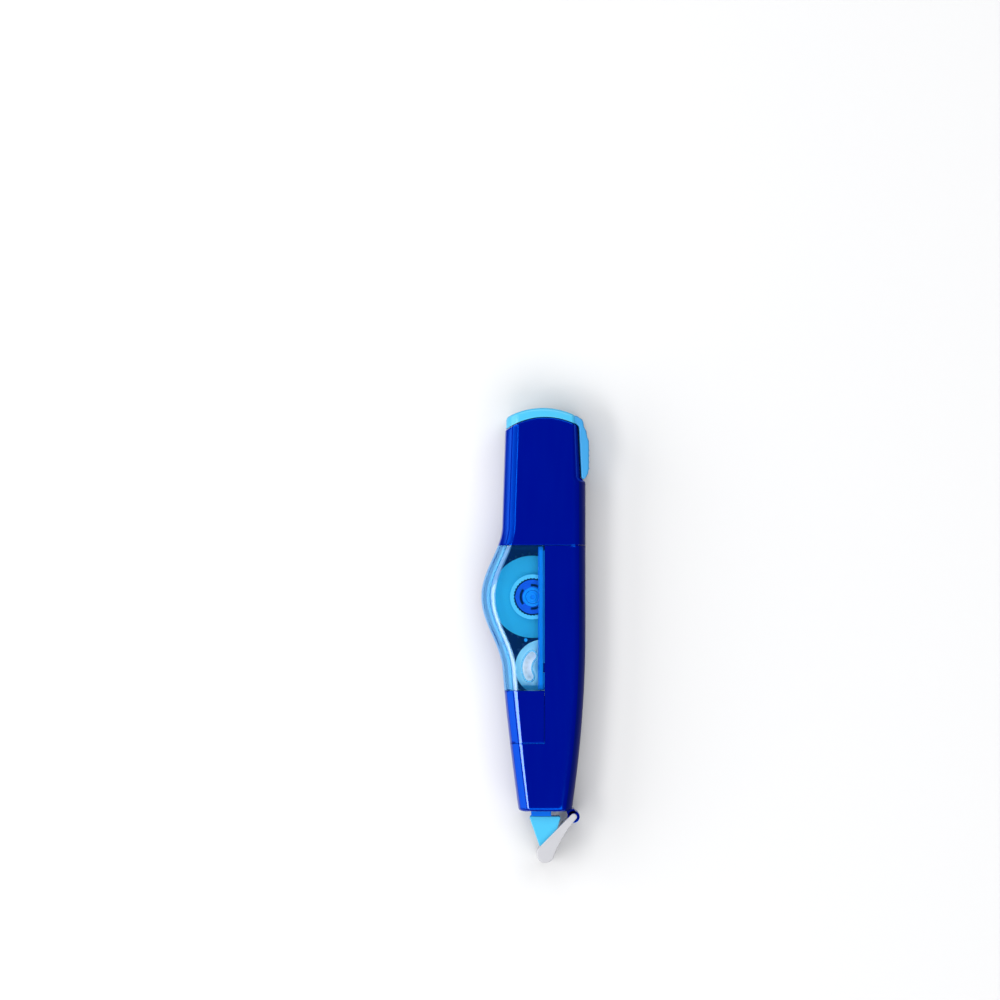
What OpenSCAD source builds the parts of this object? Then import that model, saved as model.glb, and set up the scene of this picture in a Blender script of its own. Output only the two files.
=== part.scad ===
// Pen-shaped correction tape roller with a refill cartridge, lying on its back.
// +Y runs from the writing head to the end cap, +X is the thumb grip's side, +Z is the front.

/* [Case] */
// Thickness of the case from the back to the front
case_t = 14; // [12.5:0.5:16]
// Thickness of the case walls
wall = 1.2; // [0.9:0.1:1.4]
// Rounding along the long edges of the case
edge_r = 3.2; // [2:0.1:4]
// Place of the nose face along the length
nose_y = -40.6; // [-42:0.1:-39.5]
// Depth of the bulge that holds the supply roll
bulge_d = 4.75; // [4:0.05:5]
// Seam between the upper and the lower case
seam_y = 20.8; // [20:0.1:21.5]
// Gap left at every seam of the case
seam_gap = 0.1; // [0.05:0.01:0.2]
// Height of the flat lands on the back, on which the roller rests
land_h = 0.15; // [0.1:0.05:0.3]

/* [Cartridge] */
// Right edge of the clear window
window_x = 2.05; // [1.8:0.05:2.3]
// Lower end of the clear window
window_y = -12.7; // [-13.5:0.1:-12]
// Lower end of the small blue panel under the window
panel_y = -24.9; // [-27:0.1:-23.5]
// Thickness of the plates that run on under the case
plate_t = 1.0; // [0.8:0.1:1.2]

/* [Reels] */
// Centre of the supply reel
supply_c = [-0.69, 8.88];
// Centre of the take-up reel
takeup_c = [1.74, -7.44];
// Teeth of the supply gear
supply_teeth = 39; // [39:1:39]
// Teeth of the take-up gear
takeup_teeth = 27; // [27:1:27]
// Radius of the wound correction tape
tape_r = 9.5; // [7:0.1:9.6]
// Outer radius of the supply core
core_r = 5.19; // [5:0.01:5.5]
// Width of the correction tape
tape_w = 4.2; // [4:0.1:4.4]
// Radius of the take-up flange
flange_r = 6.45; // [6:0.05:6.5]
// Pin that turns the tape down towards the head
guide_c = [-7.35, -1.7];
// Radius of the guide pin
guide_r = 0.5; // [0.4:0.05:0.6]
// Radius of the used ribbon's winding
used_r = 3.6; // [3:0.1:5]
// Dimples around the take-up flange
dimples = 20; // [16:1:22]

/* [Head and guard] */
// Axis of the guard's hinge
hinge_c = [8.8, -41.9];
// Outer radius of the hinge lug
lug_r = 1.41; // [1.3:0.01:1.6]
// Radius of the bore through the lug
lug_bore_r = 0.62; // [0.5:0.01:0.7]
// Point of the applicator head
tip = [1.13, -48.75];
// Centre of the guard's rounded end
guard_end_c = [2.3, -50.42];
// Radius of the guard's rounded end
guard_end_r = 2.08; // [1.9:0.01:2.2]

/* [Slider] */
// Outermost place of the thumb grip
grip_x = 12.46; // [12.2:0.01:12.6]
// Lower end of the thumb grip
grip_y = 36.3; // [36:0.1:37]
// Radius of the end cap's crown
crown_r = 17; // [16:0.1:18]

/* [Hidden] */
$fn = 48;

eps = 0.01;
mid_z = case_t / 2;
fit = 0.05;                       // running clearance of the reels and the hinge, on the radius
module_len = 2 * norm(takeup_c - supply_c) / (supply_teeth + takeup_teeth);
line_a = atan2(takeup_c.y - supply_c.y, takeup_c.x - supply_c.x);
pressure_a = 20;
backlash = 0.11;                  // taken off each tooth at the pitch circle

// Heights of the layers inside the cartridge
gear_z = 3.1;
gear_t = 1.6;
tape_z = mid_z + 0.5 - tape_w / 2;
tape_top = tape_z + tape_w;
lower_flange_t = 0.5;
reel_top = 10.9;
front_plate_z = case_t - wall - 0.4 - plate_t;
back_plate_z = wall + 0.4;

supply_axle_r = 1.5;
supply_axle_z1 = 10.6;
takeup_axle_r = 1.1;
clutch_r = 4.2;
slot_in_r = 2.43;
slot_out_r = 2.99;

// The end of the case is an arc about this centre, and the crown of the cap about the other
top_c = [2.2, 34.7];
top_r = 15.5;
crown_c = [1.7, 52.5 - crown_r];
recess_y = 35.9;                  // above this the right side steps in behind the thumb grip
recess_d = 1.15;
recess_slope = 0.051;
slider_gap = 0.2;

// ---------------------------------------------------------------- case outline

// Left side: a long taper to the nose, with a swelling round the supply roll
function swell(t) = abs(t) >= 1 ? 0 : pow((1 + cos(180 * t)) / 2, 0.9);
function left_base(y) = y > -5 ? -7.75 + 0.033 * max(0, y - 24) : -7.75 + 3.75 * pow((-5 - y) / 34.6, 1.25);
function left_x(y) = left_base(y) - bulge_d * swell((y - 8.9) / (y > 8.9 ? 16 : 16.5));

// Right side: straight, then a taper to the nose
full_x = 11.55;
function right_base(y) = y > 0 ? full_x : full_x - 2.81 * pow(-y / 38, 1.9);
function right_x(y) = y > recess_y ? full_x - recess_d - recess_slope * (y - recess_y) : right_base(y);

// The nose face is rounded over by pulling the last sections in
nose_round = 0.8;
function nose_pull(y) =
    let (d = min(nose_round, y - nose_y))
    nose_round - sqrt(max(0, pow(nose_round, 2) - pow(nose_round - d, 2)));

// Cross-section of the case at y, pulled in by inset, as [x, z] points
function corner(cx, cz, r, from, steps) =
    [for (i = [0:steps]) [cx + r * cos(from + 90 * i / steps), cz + r * sin(from + 90 * i / steps)]];
function section(y, inset, steps) =
    let (
        pull = inset > 0 ? inset : nose_pull(y),
        r = max(0.6, edge_r - pull),
        x0 = left_x(y) + pull + r,
        x1 = right_x(y) - pull - r,
        z0 = land_h + pull + r,
        z1 = case_t - pull - r
    )
    concat(
        corner(x1, z0, r, 270, steps), corner(x1, z1, r, 0, steps),
        corner(x0, z1, r, 90, steps), corner(x0, z0, r, 180, steps)
    );

// Solid lofted through the case's sections at the given stations
module loft(stations, inset, steps) {
    rings = len(stations);
    n = 4 * (steps + 1);
    points = [for (y = stations) for (p = section(y, inset, steps)) [p.x, y, p.y]];
    sides = [for (k = [0:rings - 2]) for (i = [0:n - 1])
        let (j = (i + 1) % n, a = k * n, b = a + n)
        each [[a + i, b + j, b + i], [a + i, a + j, b + j]]];
    polyhedron(points = points, faces = concat(sides, [[for (i = [n - 1:-1:0]) i]],
        [[for (i = [0:n - 1]) (rings - 1) * n + i]]), convexity = 4);
}

case_top = 53;
step_l = 0.5;                     // half the length over which the right side steps in
outer_stations = concat([nose_y, nose_y + 0.25, nose_y + nose_round], [for (y = [-38:2.5:34]) y],
    [recess_y - step_l, recess_y + step_l, 41, 47, case_top]);
inner_stations = concat([nose_y + wall], [for (y = [-38:4:34]) y],
    [recess_y - step_l, recess_y + step_l, 44, case_top]);

// Everything below an arc of radius r about centre c
module below_arc(c, r) {
    translate([c.x, c.y, -1]) cylinder(r = r, h = case_t + 2, $fn = 128);
    translate([-20, -60, -1]) cube([40, 60 + c.y, case_t + 2]);
}

// The case as one hollow body, before it is cut into its pieces
module hollow_case() {
    difference() {
        intersection() {
            loft(outer_stations, 0, 5);
            below_arc(top_c, top_r);
        }
        intersection() {
            loft(inner_stations, wall, 3);
            below_arc(top_c, top_r - wall);
        }
    }
}

module slab(x0, x1, y0, y1, z0, z1) {
    translate([x0, y0, z0]) cube([x1 - x0, y1 - y0, z1 - z0]);
}

// Flat land that stands proud of the back between two stations
module land(y0, y1, x_min) {
    rows = [for (i = [0:6]) y0 + (y1 - y0) * i / 6];
    left = [for (y = rows) [max(x_min, left_x(y) + edge_r), y]];
    right = [for (i = [6:-1:0]) [right_x(rows[i]) - edge_r, rows[i]]];
    linear_extrude(land_h + 0.3) polygon(concat(left, right));
}

// ---------------------------------------------------------------- case pieces

// Slot in the end of the case for the slider's tongue
tongue_x0 = 0.2;
tongue_x1 = 4.2;
tongue_z = 1.2;                   // half the tongue's thickness
module tongue_slot() {
    slab(tongue_x0 - slider_gap, tongue_x1 + slider_gap, 44, case_top,
        mid_z - tongue_z - slider_gap, mid_z + tongue_z + slider_gap);
}

// Guide rails inside the upper case, one each side of the tongue
module tongue_rails() {
    for (x = [tongue_x0 - slider_gap - 1, tongue_x1 + slider_gap]) {
        slab(x, x + 1, 37, 46, wall, case_t - wall);
    }
}

module upper_case(half) {
    difference() {
        union() {
            intersection() {
                hollow_case();
                slab(-20, 20, seam_y + seam_gap / 2, case_top, -1, case_t + 1);
            }
            tongue_rails();
        }
        tongue_slot();
        if (half == "front") {
            back_cut();
        } else {
            front_cut();
        }
    }
}

module back_cut() {
    slab(-20, 20, -60, 60, -2, mid_z + seam_gap / 2);
}

module front_cut() {
    slab(-20, 20, -60, 60, mid_z - seam_gap / 2, case_t + 2);
}

module upper_case_front() {
    color("mediumblue") upper_case("front");
}

module upper_case_back() {
    color("mediumblue") {
        upper_case("back");
        land(seam_y + 1, 44, -20);
    }
}

// The lower case leaves the left side free for the window and the small panel
module lower_case_shell() {
    difference() {
        intersection() {
            hollow_case();
            slab(-20, 20, nose_y - 1, seam_y - seam_gap / 2, -1, case_t + 1);
        }
        slab(-20, window_x + seam_gap / 2, panel_y - seam_gap / 2, seam_y + 1, -1, case_t + 1);
        mouth();
    }
}

// Rounded opening in the nose, where the head's stem comes out
mouth_x0 = -2.4;
mouth_x1 = 6.7;
mouth_r = 1.2;
module mouth() {
    translate([0, nose_y - 1, 0]) rotate([-90, 0, 0]) linear_extrude(4) {
        for (x = [mouth_x0 + mouth_r, mouth_x1 - mouth_r]) {
            for (z = [3.4 + mouth_r, 11.4 - mouth_r]) {
                translate([x, -z]) circle(r = mouth_r);
            }
        }
        translate([mouth_x0 + mouth_r, -11.4]) square([mouth_x1 - mouth_x0 - 2 * mouth_r, 8]);
        translate([mouth_x0, -11.4 + mouth_r]) square([mouth_x1 - mouth_x0, 8 - 2 * mouth_r]);
    }
}

// Hinge lug at the right of the nose; the guard's pins turn in its ends
lug_z0 = 2.9;
lug_z1 = 11.1;
module lug(z0, z1) {
    difference() {
        union() {
            translate([hinge_c.x, hinge_c.y, z0]) cylinder(r = lug_r, h = z1 - z0);
            slab(hinge_c.x - 1.4, hinge_c.x - 0.1, hinge_c.y, nose_y + 1, z0, z1);
        }
        translate([hinge_c.x, hinge_c.y, z0 - 1]) cylinder(r = lug_bore_r, h = z1 - z0 + 2);
    }
}

module lower_case_front() {
    color("mediumblue") {
        difference() {
            lower_case_shell();
            back_cut();
        }
        lug(mid_z + seam_gap / 2, lug_z1);
    }
}

module lower_case_back() {
    color("mediumblue") {
        difference() {
            lower_case_shell();
            front_cut();
        }
        lug(lug_z0, mid_z - seam_gap / 2);
        land(nose_y + 3, panel_y - 0.5, -20);
        land(panel_y + 0.5, seam_y - 1, window_x + 1);
    }
}

// Small blue panel below the window, one on each face
module nose_panel(half) {
    difference() {
        intersection() {
            hollow_case();
            slab(-20, window_x - seam_gap / 2, panel_y + seam_gap / 2, window_y - seam_gap / 2,
                -1, case_t + 1);
        }
        if (half == "front") {
            back_cut();
        } else {
            front_cut();
        }
    }
}

module nose_panel_front() {
    color("mediumblue") nose_panel("front");
}

module nose_panel_back() {
    color("mediumblue") nose_panel("back");
}

// ---------------------------------------------------------------- refill cartridge

rail_x0 = 0.8;
rail_w = 0.95;
plate_x1 = 8.2;                   // far edge of the plates, clear of the case's rounded corner

// Clear outer wall, flush with the case
module window_shell() {
    intersection() {
        hollow_case();
        slab(-20, window_x - seam_gap / 2, window_y + seam_gap / 2, seam_y - seam_gap / 2, -1, case_t + 1);
    }
}

// Plate that runs on under the case, from the rail to the far side
module inner_plate(z, y0) {
    slab(rail_x0, plate_x1, y0, seam_y - 1.2, z, z + plate_t);
}

// Kidney-shaped slot through which the take-up reel can be turned by hand
kidney_r = 3.77;
kidney_w = 2.0;
kidney_a0 = 133;
kidney_a1 = 212;
function arc(c, r, from, to, steps) =
    [for (i = [0:steps]) let (a = from + (to - from) * i / steps) c + r * [cos(a), sin(a)]];
module kidney_slot() {
    half_w = kidney_w / 2;
    end0 = kidney_r * [cos(kidney_a0), sin(kidney_a0)];
    end1 = kidney_r * [cos(kidney_a1), sin(kidney_a1)];
    translate([takeup_c.x, takeup_c.y, 11]) linear_extrude(case_t) polygon(concat(
        arc([0, 0], kidney_r + half_w, kidney_a0, kidney_a1, 12),
        arc(end1, half_w, kidney_a1 + 15, kidney_a1 + 165, 8),
        arc([0, 0], kidney_r - half_w, kidney_a1, kidney_a0, 10),
        arc(end0, half_w, kidney_a0 + 195, kidney_a0 + 345, 8)
    ));
}

lip_x1 = window_x - 0.1;
lip_z = 11.1;
lip_z1 = case_t - wall + 0.1;
window_y0 = window_y + seam_gap / 2;
window_y1 = seam_y - seam_gap / 2;
module cartridge_front() {
    color("deepskyblue", 0.4) {
        difference() {
            union() {
                difference() {
                    window_shell();
                    back_cut();
                }
                slab(rail_x0, rail_x0 + rail_w, window_y + 0.2, seam_y - 0.3, front_plate_z, case_t - 0.4);
                inner_plate(front_plate_z, window_y + 0.2);
                // Lips along the window's two ends
                slab(-7.6, lip_x1, window_y1 - 0.95, window_y1 - eps, lip_z, lip_z1);
                slab(-6.1, lip_x1, window_y0 + eps, window_y0 + 1.15, lip_z, lip_z1);
            }
            kidney_slot();
            translate([takeup_c.x, takeup_c.y, front_plate_z - 1])
                cylinder(r = takeup_axle_r + fit, h = plate_t + 2);
        }
        // Post between the two reels
        translate([-2.25, -1.05, gear_z + gear_t + 0.4])
            cylinder(r = 0.4, h = case_t - wall - gear_z - gear_t);
    }
}

module cartridge_back() {
    color("mediumblue") {
        difference() {
            window_shell();
            front_cut();
        }
        slab(rail_x0, rail_x0 + rail_w, window_y + 0.2, seam_y - 0.3, land_h + 0.4, back_plate_z + plate_t);
        inner_plate(back_plate_z, window_y + 0.2);
        // Tongue that carries the head's stem
        slab(stem_x0, stem_x1, stem_top - 4, window_y + 0.3, back_plate_z, back_plate_z + plate_t);
        translate([supply_c.x, supply_c.y, land_h + 0.5])
            cylinder(r = supply_axle_r, h = supply_axle_z1 - land_h - 0.5);
        translate([takeup_c.x, takeup_c.y, back_plate_z])
            cylinder(r = takeup_axle_r, h = front_plate_z + plate_t - back_plate_z);
        // Pin that turns the tape down towards the head
        translate([guide_c.x, guide_c.y, wall]) cylinder(r = guide_r, h = case_t - 2 * wall - 2);
    }
}

// ---------------------------------------------------------------- gears

function involute(a) = tan(a) * 180 / PI - a;
function half_tooth(r, pitch_r) =
    let (base_r = pitch_r * cos(pressure_a), at = r > base_r ? acos(base_r / r) : 0)
    (PI * module_len / 2 - backlash) / 2 / pitch_r * 180 / PI + involute(pressure_a) - involute(at);

module gear_outline(teeth) {
    pitch_r = teeth * module_len / 2;
    root_r = pitch_r - 1.25 * module_len;
    outer_r = pitch_r + 0.9 * module_len;
    flank = [for (i = [0:4]) let (r = root_r + (outer_r - root_r) * i / 4) [r, half_tooth(r, pitch_r)]];
    polygon([for (t = [0:teeth - 1]) let (a = t * 360 / teeth) each concat(
        [for (i = [0:4]) flank[i][0] * [cos(a - flank[i][1]), sin(a - flank[i][1])]],
        [for (i = [4:-1:0]) flank[i][0] * [cos(a + flank[i][1]), sin(a + flank[i][1])]])]);
}

module supply_gear() {
    color("navy") translate([supply_c.x, supply_c.y, gear_z]) difference() {
        union() {
            rotate(line_a) linear_extrude(gear_t) gear_outline(supply_teeth);
            translate([0, 0, -0.4]) cylinder(r = 3, h = 0.5);
        }
        translate([0, 0, -1]) cylinder(r = supply_axle_r + fit, h = 5);
        // Lightening holes
        for (a = [0:60:300]) {
            rotate(line_a + a) translate([6.2, 0, -1]) cylinder(r = 1.3, h = 5);
        }
    }
}

module takeup_gear() {
    color("navy") translate([takeup_c.x, takeup_c.y, gear_z]) difference() {
        union() {
            rotate(line_a + 180 + 180 / takeup_teeth) linear_extrude(gear_t) gear_outline(takeup_teeth);
            translate([0, 0, -0.4]) cylinder(r = 2.2, h = 0.5);
        }
        translate([0, 0, -1]) cylinder(r = takeup_axle_r + fit, h = 5);
        for (a = [0:72:288]) {
            rotate(a) translate([4.2, 0, -1]) cylinder(r = 1, h = 5);
        }
    }
}

// ---------------------------------------------------------------- reels

// Spring hub of the slipping clutch: its rim is cut free by arc slots
hub_z = gear_z + gear_t;
slot_count = 3;
slot_half_a = 38;
module clutch_hub() {
    color("royalblue") translate([supply_c.x, supply_c.y, hub_z]) difference() {
        union() {
            cylinder(r = clutch_r - 0.25, h = reel_top - 0.5 - hub_z);
            // Three pawls that ride over the core's teeth
            for (a = [60:120:300]) {
                rotate(a) translate([clutch_r - 0.35, 0, 0]) cylinder(r = 0.3, h = reel_top - 0.5 - hub_z);
            }
        }
        translate([0, 0, -1]) cylinder(r = supply_axle_r + fit, h = 12);
        for (k = [0:slot_count - 1]) {
            translate([0, 0, 1]) rotate(180 + k * 360 / slot_count) linear_extrude(9) intersection() {
                difference() {
                    circle(r = slot_out_r);
                    circle(r = slot_in_r);
                }
                polygon([[0, 0], for (a = [-slot_half_a:slot_half_a / 2:slot_half_a]) 6 * [cos(a), sin(a)]]);
            }
        }
    }
}

// Core of the supply roll, with fine clutch teeth inside and a flange under the tape
core_teeth = 36;
module supply_core() {
    color("paleturquoise") translate([supply_c.x, supply_c.y, hub_z + 0.1]) difference() {
        union() {
            cylinder(r = core_r, h = reel_top - hub_z - 0.1, $fn = 96);
            cylinder(r = tape_r - 0.4, h = tape_z - hub_z - 0.1, $fn = 96);
        }
        translate([0, 0, -1]) linear_extrude(12) polygon([for (i = [0:2 * core_teeth - 1])
            let (a = 180 * i / core_teeth) (clutch_r + (i % 2) * 0.22) * [cos(a), sin(a)]]);
    }
}

module tape_roll() {
    color("white") translate([supply_c.x, supply_c.y, tape_z]) difference() {
        cylinder(r = tape_r, h = tape_w, $fn = 128);
        translate([0, 0, -1]) cylinder(r = core_r, h = tape_w + 2, $fn = 96);
    }
}

// Take-up reel: a drum between two flanges, the upper one dimpled for a pencil point
drum_r = 2.4;
dimple_r = 0.38;
dimple_ring_r = 4.0;
takeup_z = gear_z + gear_t;
module takeup_reel() {
    color("white") translate([takeup_c.x, takeup_c.y, takeup_z]) difference() {
        union() {
            cylinder(r = drum_r, h = reel_top - takeup_z);
            cylinder(r = flange_r - 0.5, h = lower_flange_t, $fn = 96);
            translate([0, 0, tape_top + 0.3 - takeup_z])
                cylinder(r = flange_r, h = reel_top - tape_top - 0.3, $fn = 96);
        }
        translate([0, 0, -1]) cylinder(r = takeup_axle_r + fit, h = 12);
        for (k = [0:dimples - 1]) {
            rotate(k * 360 / dimples) translate([dimple_ring_r, 0, reel_top - takeup_z - 0.45])
                cylinder(r = dimple_r, h = 1);
        }
    }
}

module used_ribbon_winding() {
    color("lightsteelblue") translate([takeup_c.x, takeup_c.y, tape_z]) difference() {
        cylinder(r = used_r, h = tape_w, $fn = 96);
        translate([0, 0, -1]) cylinder(r = drum_r, h = tape_w + 2);
    }
}

// ---------------------------------------------------------------- tape path

// Where a straight run touches circle a on its way to circle b, on the side s (-1 left, +1 right)
function touch(a, ra, b, rb, s) =
    let (d = b - a, len_d = norm(d), dir = atan2(d.y, d.x), off = acos((ra - rb) / len_d))
    a + ra * [cos(dir - s * off), sin(dir - s * off)];

// The same, for a run that crosses over to the other side of circle b
function cross_touch(a, ra, b, rb, s) = touch(a, ra, b, -rb, s);

tape_thick = 0.12;
tape_gap = 0.05;                  // between a run and the roll or pin that it touches

// Upright band of tape along a line of points
module band(line) {
    last = len(line) - 1;
    side = [for (i = [0:last])
        let (d = line[min(last, i + 1)] - line[max(0, i - 1)]) tape_thick / 2 / norm(d) * [-d.y, d.x]];
    translate([0, 0, tape_z]) linear_extrude(tape_w)
        polygon(concat([for (i = [0:last]) line[i] + side[i]], [for (i = [last:-1:0]) line[i] - side[i]]));
}

// The head's faces, seen from the front
head_top_y = -42.1;
head_left = [-1.4, head_top_y];
head_right = [5.8, head_top_y];
core_in = 0.95;                   // the core's faces lie this far inside the cheeks' edges
core_left = [[head_left.x + core_in, head_top_y + 0.3], [0.95, -47.75]];
core_right = [[head_right.x - core_in, head_top_y + 0.3], [3.95, -44.9], [1.45, -47.85]];
tape_off = 0.14;                  // from a face of the core to the middle of the tape on it
run_left = core_left[0] - [tape_off, 0.2];
run_right = core_right[0] + [tape_off, 0];

// Fresh tape: off the roll, round the guide pin and down to the head
module correction_tape_strand() {
    roll_r = tape_r + tape_gap + tape_thick / 2;
    pin_r = guide_r + tape_gap + tape_thick / 2;
    arrive = cross_touch(guide_c, pin_r, supply_c, roll_r, 1) - guide_c;
    leave = touch(guide_c, pin_r, run_left, eps, -1) - guide_c;
    a0 = atan2(arrive.y, arrive.x);
    a1 = atan2(leave.y, leave.x);
    turn = [for (i = [0:4]) let (a = a0 + (a1 - a0) * i / 4) guide_c + pin_r * [cos(a), sin(a)]];
    color("white")
        band(concat([cross_touch(supply_c, roll_r, guide_c, pin_r, 1)], turn,
            [run_left, core_left[1] - [tape_off, 0]]));
}

// Used ribbon: from the head's other face back to the take-up reel
module used_ribbon_strand() {
    winding_r = used_r + tape_gap + tape_thick / 2;
    color("lightsteelblue")
        band([core_right[2] + [tape_off, 0], core_right[1] + [tape_off, -tape_off / 2], run_right,
            touch(takeup_c, winding_r, run_right, eps, -1)]);
}

// ---------------------------------------------------------------- head

stem_x0 = 0.2;
stem_x1 = 4.5;
stem_top = -16.2;
stem_z0 = 5.2;
stem_z1 = 10.2;
neck_x0 = -1.0;
neck_x1 = 3.6;
cheek_z0 = 4.4;
cheek_z1 = 10.9;
cheek_t = 0.9;
peg_gap = 0.05;
yoke_z0 = 4.2;
yoke_t = 1.1;

// Flat peg by which the head plugs into the stem, grown by gap
module head_peg(gap) {
    slab(0.6 - gap, 3.0 + gap, head_top_y + 0.2 - gap, nose_y + 2.4 + gap, 6.6 - gap, 8.8 + gap);
}

module head_stem() {
    color("deepskyblue", 0.6) {
        slab(stem_x0, stem_x1, nose_y + 3, stem_top, stem_z0, stem_z1);
        slab(stem_x0, stem_x1, stem_top - 4, stem_top, back_plate_z + plate_t, stem_z0);
        difference() {
            slab(stem_x0, neck_x1, head_top_y + 0.35, nose_y + 3, stem_z0, stem_z1);
            head_peg(peg_gap);
        }
        // Yoke plates that pass in front of and behind the tape
        for (z = [yoke_z0, tape_top + 0.1]) {
            slab(neck_x0, neck_x1, head_top_y + 0.35, nose_y + 3, z, z + yoke_t);
        }
    }
}

// Wedge with two cheeks; the tape runs over the core between them and round the point
module applicator_head() {
    color("deepskyblue") {
        for (z = [cheek_z0, cheek_z1 - cheek_t]) {
            translate([0, 0, z]) linear_extrude(cheek_t) polygon([
                head_left, [head_left.x + 0.3, head_top_y + 0.3], [head_right.x - 0.3, head_top_y + 0.3],
                head_right, [5.1, -44.7], [2.65, -47.7], tip + [0.25, 0.05], tip - [0.2, -0.05]
            ]);
        }
        translate([0, 0, cheek_z0 + cheek_t - eps])
            linear_extrude(cheek_z1 - cheek_z0 - 2 * cheek_t + 2 * eps)
                polygon(concat([core_left[0]], core_right, [core_left[1]]));
        head_peg(0);
    }
}

// ---------------------------------------------------------------- guard

guard_a = atan2(guard_end_c.y - hinge_c.y, guard_end_c.x - hinge_c.x) + 180;
arm_r = 0.75;
arm_t = 1.0;
arm_front_z = lug_z1 + 0.15;
arm_back_z = lug_z0 - 0.15 - arm_t;

// Teardrop from the hinge to the rounded end, shrunk by inset; its outer side is slightly hollow
hollow_d = 0.4;
hollow_from = touch(hinge_c, arm_r, guard_end_c, guard_end_r, -1);
hollow_to = touch(guard_end_c, guard_end_r, hinge_c, arm_r, 1);
hollow_way = (hollow_to - hollow_from) / norm(hollow_to - hollow_from);
hollow_r = (pow(norm(hollow_to - hollow_from) / 2, 2) + pow(hollow_d, 2)) / (2 * hollow_d);
hollow_c = (hollow_from + hollow_to) / 2 + (hollow_r - hollow_d) * [-hollow_way.y, hollow_way.x];
module teardrop(inset) {
    difference() {
        full_teardrop(inset);
        translate(hollow_c) circle(r = hollow_r + inset, $fn = 256);
    }
}

module full_teardrop(inset) {
    a = hinge_c;
    b = guard_end_c;
    ra = max(0.02, arm_r - inset);
    rb = guard_end_r - inset;
    translate(a) circle(r = ra);
    translate(b) circle(r = rb, $fn = 96);
    polygon([touch(a, ra, b, rb, -1), touch(a, ra, b, rb, 1),
        touch(b, rb, a, ra, -1), touch(b, rb, a, ra, 1)]);
}

// Two arms beside the head, and between them a web that covers the point from below
web_t = 0.8;
web_far = 5;
module head_guard() {
    color("ghostwhite", 0.8) {
        for (z = [arm_back_z, arm_front_z]) {
            translate([0, 0, z]) linear_extrude(arm_t) teardrop(0);
        }
        translate([0, 0, arm_back_z + arm_t - eps])
            linear_extrude(arm_front_z - arm_back_z - arm_t + 2 * eps) difference() {
                teardrop(0);
                translate(hinge_c) circle(r = web_far);
                teardrop(web_t);
                // Everything on the head's side of the guard's middle line
                translate(guard_end_c) rotate(guard_a + 90) translate([0, -8]) square([6, 20]);
            }
        for (z = [lug_z1 - 1.6, lug_z0]) {
            translate([hinge_c.x, hinge_c.y, z - 0.2]) cylinder(r = lug_bore_r - fit, h = 2);
        }
    }
}

// ---------------------------------------------------------------- slider

grip_z0 = 1.0;
ridge_r = 0.3;

// End cap, thumb grip and guide tongue in one piece
module release_slider() {
    color("deepskyblue") {
        // Crown over the end of the case
        difference() {
            intersection() {
                loft([44, 47, case_top], 0, 5);
                translate([crown_c.x, crown_c.y, -1]) cylinder(r = crown_r, h = case_t + 2, $fn = 128);
            }
            below_arc(top_c, top_r + slider_gap);
        }
        // Grip down the right side
        translate([0, 0, grip_z0]) linear_extrude(case_t - 2 * grip_z0) polygon([
            [right_x(48) + slider_gap, 48.25], [right_x(grip_y) + slider_gap, grip_y + 0.2],
            [10.95, grip_y - 0.3], [11.55, grip_y], [12.1, grip_y + 1], [grip_x - 0.12, grip_y + 2.2],
            [grip_x - 0.12, 44.9], [12, 45.6], [11.7, 47.2], [11.15, 48.2], [10.95, 49.6], [9.6, 50.5],
            [8.2, 50], [8.2, 49.35], [9.3, 48.75]
        ]);
        for (y = [38.5, 40, 41.5, 42.7]) {
            translate([grip_x - ridge_r, y, grip_z0])
                cylinder(r = ridge_r, h = case_t - 2 * grip_z0, $fn = 24);
        }
        // Tongue that slides in the end of the case, with a stop at its end
        slab(tongue_x0, tongue_x1, 40, top_c.y + top_r + 0.6, mid_z - tongue_z, mid_z + tongue_z);
        slab(tongue_x0 + 0.6, tongue_x1 - 0.6, 39, 40.5, mid_z - 2.4, mid_z + 2.4);
    }
}

upper_case_front();
upper_case_back();
lower_case_front();
lower_case_back();
nose_panel_front();
nose_panel_back();
cartridge_front();
cartridge_back();
supply_gear();
clutch_hub();
supply_core();
tape_roll();
takeup_gear();
takeup_reel();
used_ribbon_winding();
correction_tape_strand();
used_ribbon_strand();
head_stem();
applicator_head();
head_guard();
release_slider();
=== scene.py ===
"""Looks of the correction tape roller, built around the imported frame. Lengths are in millimetres, in the
same frame as the CAD, and MM turns them into metres. The floor and the lights are placed in metres."""

import math

import bmesh
import bpy
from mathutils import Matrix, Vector


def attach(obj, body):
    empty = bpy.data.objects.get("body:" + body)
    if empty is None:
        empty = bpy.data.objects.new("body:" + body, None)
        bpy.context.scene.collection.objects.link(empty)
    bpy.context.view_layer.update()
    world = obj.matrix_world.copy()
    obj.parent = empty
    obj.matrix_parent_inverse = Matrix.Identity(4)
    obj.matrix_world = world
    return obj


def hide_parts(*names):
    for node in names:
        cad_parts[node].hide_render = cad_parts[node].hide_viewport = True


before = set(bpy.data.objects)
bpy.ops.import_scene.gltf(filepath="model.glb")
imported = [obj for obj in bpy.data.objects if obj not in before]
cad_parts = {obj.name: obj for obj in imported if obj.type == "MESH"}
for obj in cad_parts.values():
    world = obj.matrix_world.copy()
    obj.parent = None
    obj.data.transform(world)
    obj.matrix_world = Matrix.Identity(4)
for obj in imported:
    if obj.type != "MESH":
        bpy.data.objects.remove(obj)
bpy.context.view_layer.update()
MM = 0.001

# ------------------------------------------------------------------ sizes of the case, as in the CAD

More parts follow.
